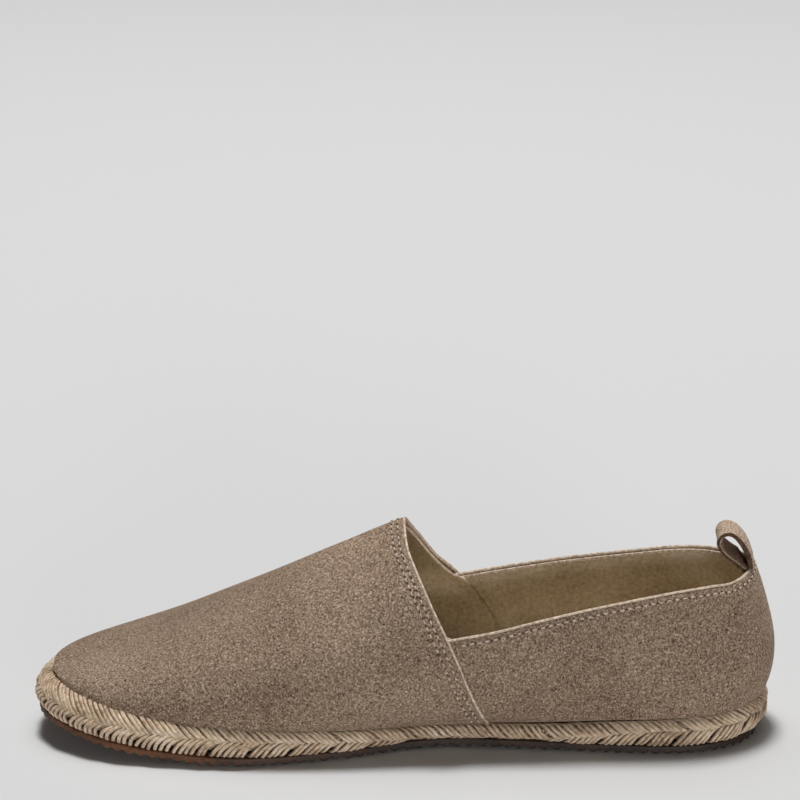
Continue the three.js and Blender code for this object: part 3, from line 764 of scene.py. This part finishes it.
# ---- Quarters and vamp --------------------------------------------------------------------------
# Taupe suede, nap outwards. The two quarters are one strip round the heel, and the vamp is laid over
# their front ends and sewn down with two rows of stitches. Both are drawn down to the rope at the foot.
# Suede: a short brushed nap, quite matt, light where it is brushed up and dark in its grain. The grain is
# about 0.3 mm; it is drawn at 0.7 mm.
suede, tree, shader = material("brushed_suede", Roughness=0.95, IOR=1.4)
shader.inputs["Sheen Weight"].default_value = 0.25
shader.inputs["Sheen Roughness"].default_value = 0.45
shader.inputs["Sheen Tint"].default_value = linear("#dcc6b0")
shader.inputs["Specular IOR Level"].default_value = 0.2
where = node(tree, "ShaderNodeTexCoord")
nap = node(tree, "ShaderNodeTexNoise", [(where, "Object", "Vector")], Scale=1400.0, Detail=3.0,
           Roughness=0.7, Distortion=1.0)
brushed = node(tree, "ShaderNodeTexNoise", [(where, "Object", "Vector")], Scale=30.0, Detail=3.0)
weighed = node(tree, "ShaderNodeMath", [(nap, "Fac", 0), (brushed, "Fac", 2)], operation="MULTIPLY_ADD")
weighed.inputs[1].default_value = 10.0
mean = node(tree, "ShaderNodeMath", [(weighed, "Value", 0)], operation="MULTIPLY")
mean.inputs[1].default_value = 1 / 11.0
tint = node(tree, "ShaderNodeValToRGB", [(mean, "Value", "Fac")],
            stops=[(0.37, "#4f3c2e"), (0.455, "#87715e"), (0.545, "#aa927c"), (0.635, "#e0c8b0")])
# Painted shade: lower down, towards the rope, the suede is painted up to a quarter darker, for light from
# above.
height = node(tree, "ShaderNodeSeparateXYZ", [(where, "Object", "Vector")])
decimetres = node(tree, "ShaderNodeMath", [(height, "Z", 0)], operation="MULTIPLY")
decimetres.inputs[1].default_value = 10.0
instep = node(tree, "ShaderNodeValToRGB", [(decimetres, "Value", "Fac")],
              stops=[(0.1, "#e2e2e2"), (0.3, "#ebebeb"), (0.55, "#efefef"), (0.78, "#ffffff")])
low_shaded = node(tree, "ShaderNodeMixRGB", [(tint, "Color", "Color1"), (instep, "Color", "Color2")],
            blend_type="MULTIPLY", Fac=1.0)
tree.links.new(low_shaded.outputs["Color"], shader.inputs["Base Color"])
bump = node(tree, "ShaderNodeBump", [(nap, "Fac", "Height")], Strength=0.7, Distance=0.0005)
tree.links.new(bump.outputs["Normal"], shader.inputs["Normal"])

HIDE = 1.15  # the suede's thickness
VAMP_STAND = 1.3  # the vamp's outer face, outside the quarters'
ROWS = (2.7, 5.2)  # the vamp's stitch rows, from its edge
COLLAR_ROW = 2.4  # the collar's, from its edge
AMID = np.array([150.0, -5.0, 25.0])  # a point inside the shoe, which the hide faces away from


def moved_out(surface, relief):
    """A surface with small troughs and ridges: relief(points) is how far it stands out, in mm."""
    def place(a, b):
        step = 1e-3
        p = surface(a, b)
        da = surface(np.clip(a + step, 0, 1), b) - surface(np.clip(a - step, 0, 1), b)
        db = surface(a, np.clip(b + step, 0, 1)) - surface(a, np.clip(b - step, 0, 1))
        n = np.cross(da, db)
        size = np.linalg.norm(n, axis=1, keepdims=True)
        n = np.where(size > 1e-9, n / np.maximum(size, 1e-9), 0)
        facing = np.sign(np.einsum("ij,ij->i", n, p - AMID))
        return p + n * facing[:, None] * relief(p)[:, None]
    return place


def hump(distance, width):
    """A soft swell, 1 in the middle."""
    return np.exp(-(distance / width) ** 2)


def vamp_relief(p):
    """The vamp sinks at its edge and stitch rows, puckers over the toe's rope, and has broad soft folds."""
    ahead = ahead_of_vamp_edge(p)
    rows = sum(-0.16 * hump(ahead - row, 0.7) for row in ROWS)
    edge = -0.35 * hump(ahead, 0.9)
    low = p[:, 2] - underside(p[:, 0]) - 13
    forward = np.clip((p[:, 0] - 150) / 60, 0, 1)
    puckers = 0.22 * np.sin(p[:, 0] / 2.6 + p[:, 1] / 3.1) * hump(low, 4) * forward
    folds = 0.5 * np.sin(p[:, 0] / 17.0 + p[:, 1] / 29.0) * hump(p[:, 2] - 34, 16)
    return rows + edge + puckers + 0.6 * folds


def quarter_relief(p):
    """The quarters sink at the collar's edge and stitch row, and hang a little slack below."""
    down = -above_collar(p)
    row = -0.16 * hump(down - COLLAR_ROW, 0.7)
    edge = -0.25 * hump(down, 0.8)
    slack = 0.55 * np.sin(p[:, 0] / 13.0 + 0.06 * p[:, 2]) * hump(p[:, 2] - 36, 14)
    return row + edge + slack * np.clip((down - 5) / 10, 0, 1)


bm = bmesh.new()
grid(bm, 300, 60, moved_out(quarters_surface(0.0, 0.0), quarter_relief), close=True)
quarters = piece("suede_quarters", bm, suede)
bm = bmesh.new()
grid(bm, 230, 260, moved_out(vamp_surface(-VAMP_STAND, 0.0), vamp_relief), close=True)
vamp = piece("suede_vamp", bm, suede)
for skin in (quarters, vamp):
    hide = skin.modifiers.new("hide", "SOLIDIFY")
    hide.thickness = HIDE / 1000
    hide.offset = -1.0
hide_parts("upper")

# ---- Edges --------------------------------------------------------------------------------------
# The suede's cut edges show the paler flesh of the hide, and the linings are bound with a narrow pale tape,
# sewn on. Cut hide: pale, fuzzy and matt, in tufts of about 1.2 mm.
pale, tree, shader = material("cut_hide", Roughness=0.9, IOR=1.4)
where = node(tree, "ShaderNodeTexCoord")
fuzz = node(tree, "ShaderNodeTexNoise", [(where, "Object", "Vector")], Scale=800.0, Detail=3.0)
tint = node(tree, "ShaderNodeValToRGB", [(fuzz, "Fac", "Fac")],
            stops=[(0.35, "#ae9984"), (0.52, "#d3bfaa"), (0.68, "#ecdccb")])
tree.links.new(tint.outputs["Color"], shader.inputs["Base Color"])
bump = node(tree, "ShaderNodeBump", [(fuzz, "Fac", "Height")], Strength=0.5, Distance=0.0003)
tree.links.new(bump.outputs["Normal"], shader.inputs["Normal"])
IN_THE_MOUTH = np.array([125.0, -4.0, 20.0])  # a point that the edges face away from


def places_on(line, walk, t):
    """Points of a line at t, on the scale of walk."""
    return np.column_stack([np.interp(t, walk, line[:, k]) for k in range(3)])


def bead(bm, line, across, up, samples, sides=8):
    """A rounded strip along a line of points: across and up are its half sizes."""
    walk = distances(line)
    walk /= walk[-1]

    def tube(a, b):
        centre = places_on(line, walk, a)
        along = (places_on(line, walk, np.clip(a + 0.004, 0, 1))
                 - places_on(line, walk, np.clip(a - 0.004, 0, 1)))
        along /= np.linalg.norm(along, axis=1, keepdims=True)
        out = centre - IN_THE_MOUTH
        out[:, 0] *= np.clip((70 - centre[:, 0]) / 60, 0.0, 1)
        out[:, 2] *= 0.35
        out -= along * np.einsum("ij,ij->i", out, along)[:, None]
        out /= np.maximum(np.linalg.norm(out, axis=1, keepdims=True), 1e-9)
        rise = np.cross(along, out)
        taper = np.where((a < 1e-6) | (a > 1 - 1e-6), 0.0, 1.0)[:, None]
        ring = (2 * np.pi * b)[:, None]
        return centre + taper * (out * across * np.cos(ring) + rise * up * np.sin(ring))
    grid(bm, samples, sides, tube, close=True)


def collar_line(inside, lower, front, count=240):
    """The collar's edge from the vamp on the inner side, round the heel, to the vamp on the outer side."""
    place = quarters_surface(inside, lower, front)
    return place(np.linspace(0, 1, count), np.ones(count))


def throat_line(inside, back, foot=0.0, line=BY_HEIGHT, count=240):
    """The vamp's back edge from the rope on the inner side, over the instep, to the outer side."""
    place = vamp_surface(inside, back, foot, line)
    return place(np.zeros(count), np.linspace(0, 1, count))


CUT = (0.62, 0.5)  # half the cut edge's thickness and height
CUT_IN = 0.6  # its middle, inside the suede's outer face
COLLAR_TAPE, THROAT_TAPE = (0.55, 0.72), (0.55, 0.5)  # half the tapes' thickness and height
TAPE_OFF = 0.1  # how far they lie off the linings' edges
TAPE_FOOT = 41.0  # how high up the throat's tape starts
bm = bmesh.new()
bead(bm, collar_line(CUT_IN, 0.0, front=0.03), *CUT, 400)
piece("quarter_cut_edge", bm, pale)
bm = bmesh.new()
bead(bm, throat_line(CUT_IN - VAMP_STAND, 0.0), *CUT, 420)
piece("vamp_cut_edge", bm, pale)
bm = bmesh.new()
bead(bm, collar_line(QUARTER_GAP + TAPE_OFF, TOPLINE_STEP - TAPE_OFF, front=0.02), *COLLAR_TAPE, 400)
piece("collar_lining_tape", bm, pale)
bm = bmesh.new()
folded = throat_line(VAMP_GAP + TAPE_OFF, 0.0, line=LINING_EDGE)
bead(bm, folded[folded[:, 2] > TAPE_FOOT], *THROAT_TAPE, 420)
piece("throat_lining_tape", bm, pale)

# ---- Stitching ----------------------------------------------------------------------------------
# Lockstitch in light taupe thread: two rows along the vamp's edge and one along the collar. Each stitch
# dives into its needle hole at both ends. Spun thread: soft, pale, with its ply showing every 0.7 mm.
PITCH, COLLAR_PITCH = 2.9, 3.0
STITCH = 0.56  # how much of the pitch shows as thread
THREAD = 0.31  # its radius
STAND, COLLAR_STAND = 0.2, 0.02  # how far it lies out from the line it is sewn on
HOLE = (0.4, 0.34)  # half a hole's length and width
thread, tree, shader = material("spun_thread", Roughness=0.7, IOR=1.5)
where = node(tree, "ShaderNodeTexCoord")
ply = node(tree, "ShaderNodeTexNoise", [(where, "Object", "Vector")], Scale=1500.0, Detail=2.0)
tint = node(tree, "ShaderNodeValToRGB", [(ply, "Fac", "Fac")], stops=[(0.4, "#b4a18e"), (0.6, "#ddcebe")])
tree.links.new(tint.outputs["Color"], shader.inputs["Base Color"])
# The needle holes are flat dark discs: painted shade for the hollow of each hole.
painted_hole_shade, tree, shader = material("needle_hole", Roughness=1.0)
shader.inputs["Base Color"].default_value = linear("#44352a")


def even(line, pitch):
    """Points along a line a pitch apart, with the line's direction there."""
    walk = distances(line)
    count = int(walk[-1] // pitch)
    t = (np.arange(count) + 0.5) * walk[-1] / count
    return places_on(line, walk, t), places_on(line, walk, t + 0.2) - places_on(line, walk, t - 0.2)


def row_of_stitches(threads, holes, line, inner_line, pitch, stand):
    """Sews a row: a thread over each gap between holes, lying on the hide. The inner line is the same row
    drawn inside the hide, and shows which way is out."""
    points, along = even(line, pitch)
    inner, _ = even(inner_line, pitch)
    inner = inner[np.argmin(np.linalg.norm(points[:, None] - inner[None], axis=2), axis=1)]
    for p, t, q in zip(points, along, inner):
        t = t / np.linalg.norm(t)
        n = p - q
        n -= t * n.dot(t)
        n /= np.linalg.norm(n)
        side = np.cross(n, t)

        def stitch(a, b):
            s = (a - 0.5) * pitch * STITCH
            sag = -0.42 * (2 * a - 1) ** 4
            ring = 2 * np.pi * b
            r = THREAD * np.sqrt(np.maximum(0.0, 1 - (2 * a - 1) ** 6))
            return (p + np.outer(s, t) + np.outer(stand + sag + r * np.sin(ring), n)
                    + np.outer(r * np.cos(ring), side))

        def hole(a, b):
            ring = 2 * np.pi * a
            return (p + np.outer(0.5 * pitch + HOLE[0] * b * np.cos(ring), t)
                    + np.outer(HOLE[1] * b * np.sin(ring), side) + np.outer(0.09 - 0.04 * b, n))
        grid(threads, 6, 6, stitch, close=True)
        grid(holes, 8, 2, hole, close=True)


threads, holes = bmesh.new(), bmesh.new()
for row in ROWS:
    row_of_stitches(threads, holes, throat_line(-VAMP_STAND - 0.02, -row, foot=0.03),
                    throat_line(-VAMP_STAND + 4, -row, foot=0.03), PITCH, STAND)
row_of_stitches(threads, holes, collar_line(-0.02, COLLAR_ROW, front=0.012),
                collar_line(4.0, COLLAR_ROW, front=0.012), COLLAR_PITCH, COLLAR_STAND)
piece("stitching", threads, thread)
piece("needle_holes", holes, painted_hole_shade)

# ---- Pull loop ----------------------------------------------------------------------------------
# A strap of the same suede, folded into a teardrop and sewn in between the quarters and the lining at the
# back of the heel.
LOOP_HOLE = np.array([[11.1, 63.6], [10.5, 67.2], [11.4, 71.4], [13.2, 75.0], [15.4, 77.4], [17.7, 78.1],
                      [19.7, 76.8], [20.4, 74.3], [18.7, 70.9], [15.5, 67.9]])
STRAP = 1.75  # the strap's thickness before its layers spread
SPREAD = (1.2, 0.28)  # how much thicker they make it, and how much more on the back leg
STRAP_WIDTH = 14.0
STRAP_SIDE = 2.5  # its middle, to the inner side of the shoe's
STRAP_CURVE = 0.012  # how it bends round the heel
FLARE = 0.06  # how much wider the loop opens at the strap's far edge than at its near one
LOOP_LEAN = 1.7  # how far its top leans forward
LOOP_TWIST = 2.4  # how far the front leg's far edge is turned back

# The strap is two layers of the same suede, flesh sides in. Its outer face is painted pale and its inner face
# darker, as painted light and painted shade on the one suede. Its cut edge is dark, and on the front leg the
# inner layer shows along it as a pale line. v runs round the strap's cut.
strap_suede, tree, shader = material("folded_suede_strap", Roughness=0.95, IOR=1.4)
where = node(tree, "ShaderNodeTexCoord")
nap = node(tree, "ShaderNodeTexNoise", [(where, "Object", "Vector")], Scale=1400.0, Detail=3.0, Roughness=0.7)
round_it = node(tree, "ShaderNodeSeparateXYZ", [(where, "UV", "Vector")])
# The cut edge, then the outer face in painted light and the inner face darker in painted shade.
OUTER = [(0.0, "#66513f"), (0.085, "#66513f"), (0.11, "#d6c0ac"), (0.45, "#d6c0ac"), (0.55, "#a08470")]
front_leg = node(tree, "ShaderNodeValToRGB", [(round_it, "Y", "Fac")],
                 stops=OUTER + [(0.915, "#a08470"), (0.935, "#c8b29d"), (0.958, "#c8b29d"),
                                (0.968, "#66513f")])
back_leg = node(tree, "ShaderNodeValToRGB", [(round_it, "Y", "Fac")],
                stops=OUTER + [(0.89, "#a08470"), (0.91, "#66513f")])
leg = node(tree, "ShaderNodeValToRGB", [(round_it, "X", "Fac")],
           stops=[(0.5, "#000000"), (0.62, "#ffffff")])
layers = node(tree, "ShaderNodeMixRGB", [(leg, "Color", "Fac"), (back_leg, "Color", "Color1"),
                                         (front_leg, "Color", "Color2")])
grain = node(tree, "ShaderNodeValToRGB", [(nap, "Fac", "Fac")],
             stops=[(0.36, "#8c8078"), (0.5, "#e0d8d0"), (0.64, "#ffffff")])
tint = node(tree, "ShaderNodeMixRGB", [(layers, "Color", "Color1"), (grain, "Color", "Color2")],
            blend_type="MULTIPLY", Fac=1.0)
tree.links.new(tint.outputs["Color"], shader.inputs["Base Color"])
bump = node(tree, "ShaderNodeBump", [(nap, "Fac", "Height")], Strength=0.7, Distance=0.0005)
tree.links.new(bump.outputs["Normal"], shader.inputs["Normal"])


def closed_spline(points, t):
    """A closed smooth curve through points, for t from 0 to 1."""
    count = len(points)
    k = np.floor(t * count).astype(int) % count
    f = (t * count - np.floor(t * count))[:, None]
    a, b, c, d = (points[(k + o) % count] for o in (-1, 0, 1, 2))
    return 0.5 * (2 * b + (c - a) * f + (2 * a - 5 * b + 4 * c - d) * f**2 + (3 * b - a - 3 * c + d) * f**3)


def strap_section(b):
    """The strap's rounded cut: b runs round it; gives how far across and how far out."""
    ring = 2 * np.pi * b
    across = np.sign(np.cos(ring)) * np.abs(np.cos(ring)) ** 0.25 * STRAP_WIDTH / 2
    out = np.sign(np.sin(ring)) * np.abs(np.sin(ring)) ** 0.6 * STRAP / 2
    return across, out


def loop_ring(a, b):
    """The strap's skin: a runs round the loop and b round the strap. The loop leans, flares and twists a
    little from its near edge to its far one."""
    t = np.mod(a, 1)
    p = closed_spline(LOOP_HOLE, t)
    d = closed_spline(LOOP_HOLE, np.mod(t + 1e-3, 1)) - closed_spline(LOOP_HOLE, np.mod(t - 1e-3, 1))
    n = np.column_stack([-d[:, 1], d[:, 0]])
    n /= np.linalg.norm(n, axis=1, keepdims=True)
    across, out = strap_section(b)
    y = STRAP_SIDE + across
    back = np.clip((LOOP_HOLE[:, 0].mean() - p[:, 0]) / 3, 0, 1)
    thick = STRAP * (SPREAD[0] + SPREAD[1] * back)
    flat = p + n * (STRAP - thick / 2 + out * thick / STRAP)[:, None]
    up = np.clip((p[:, 1] - 64) / 14, 0, 1)
    far = 0.5 - across / STRAP_WIDTH
    flare = FLARE * up * far
    twist = LOOP_TWIST * far * np.clip((p[:, 0] - 12) / 4, 0, 1) * hump(p[:, 1] - 68, 5.5)
    x = flat[:, 0] - flare * (24 - flat[:, 0]) + LOOP_LEAN * up - twist
    return np.column_stack([x + STRAP_CURVE * y**2, y, flat[:, 1] + up * (0.3 * far - 0.6)])


bm = bmesh.new()
grid(bm, 90, 32, loop_ring, close=True)
pull_loop = piece("pull_loop_strap", bm, strap_suede)
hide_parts("pull_loop")

# ---- Floor and light ----------------------------------------------------------------------------
# A plain pale floor. A soft key light comes from overhead and a little behind, a broad soft fill from in
# front at the shoe's own level, and a large disk lights the floor behind.
floor_paint, tree, shader = material("pale_floor", Roughness=0.9)
shader.inputs["Base Color"].default_value = linear("#d3d3d3")
bm = bmesh.new()
bmesh.ops.create_grid(bm, x_segments=1, y_segments=1, size=12.0)
mesh = bpy.data.meshes.new("floor")
bm.to_mesh(mesh)
bm.free()
floor = bpy.data.objects.new("floor", mesh)
bpy.context.scene.collection.objects.link(floor)
floor.data.materials.append(floor_paint)
floor.location.z = -0.0002  # just under the sole


def light(name, kind, at, towards, strength):
    """A light at a place, shining from a direction."""
    made = bpy.data.objects.new(name, bpy.data.lights.new(name, kind))
    made.data.energy = strength
    made.location = at
    made.rotation_euler = Vector(towards).to_track_quat("Z", "Y").to_euler()
    bpy.context.scene.collection.objects.link(made)
    return made.data


for name, towards, angle, strength in (("key", (0.04, -0.25, 1.0), 12.0, 2.4),
                                       ("fill", (-0.22, 1.0, 0.05), 20.0, 1.8)):
    light(name, "SUN", Vector(towards) * 2.0, towards, strength).angle = math.radians(angle)
overhead = light("overhead", "AREA", (0.0, -0.8, 2.0), (0.0, 0.0, 1.0), 13.0)
overhead.shape = "DISK"
overhead.size = 1.5
sky = bpy.data.worlds.new("studio")
bpy.context.scene.world = sky
sky.use_nodes = True
sky.node_tree.nodes["Background"].inputs["Color"].default_value = (1, 1, 1, 1)
sky.node_tree.nodes["Background"].inputs["Strength"].default_value = 0.045
bpy.context.scene.view_settings.view_transform = "Standard"
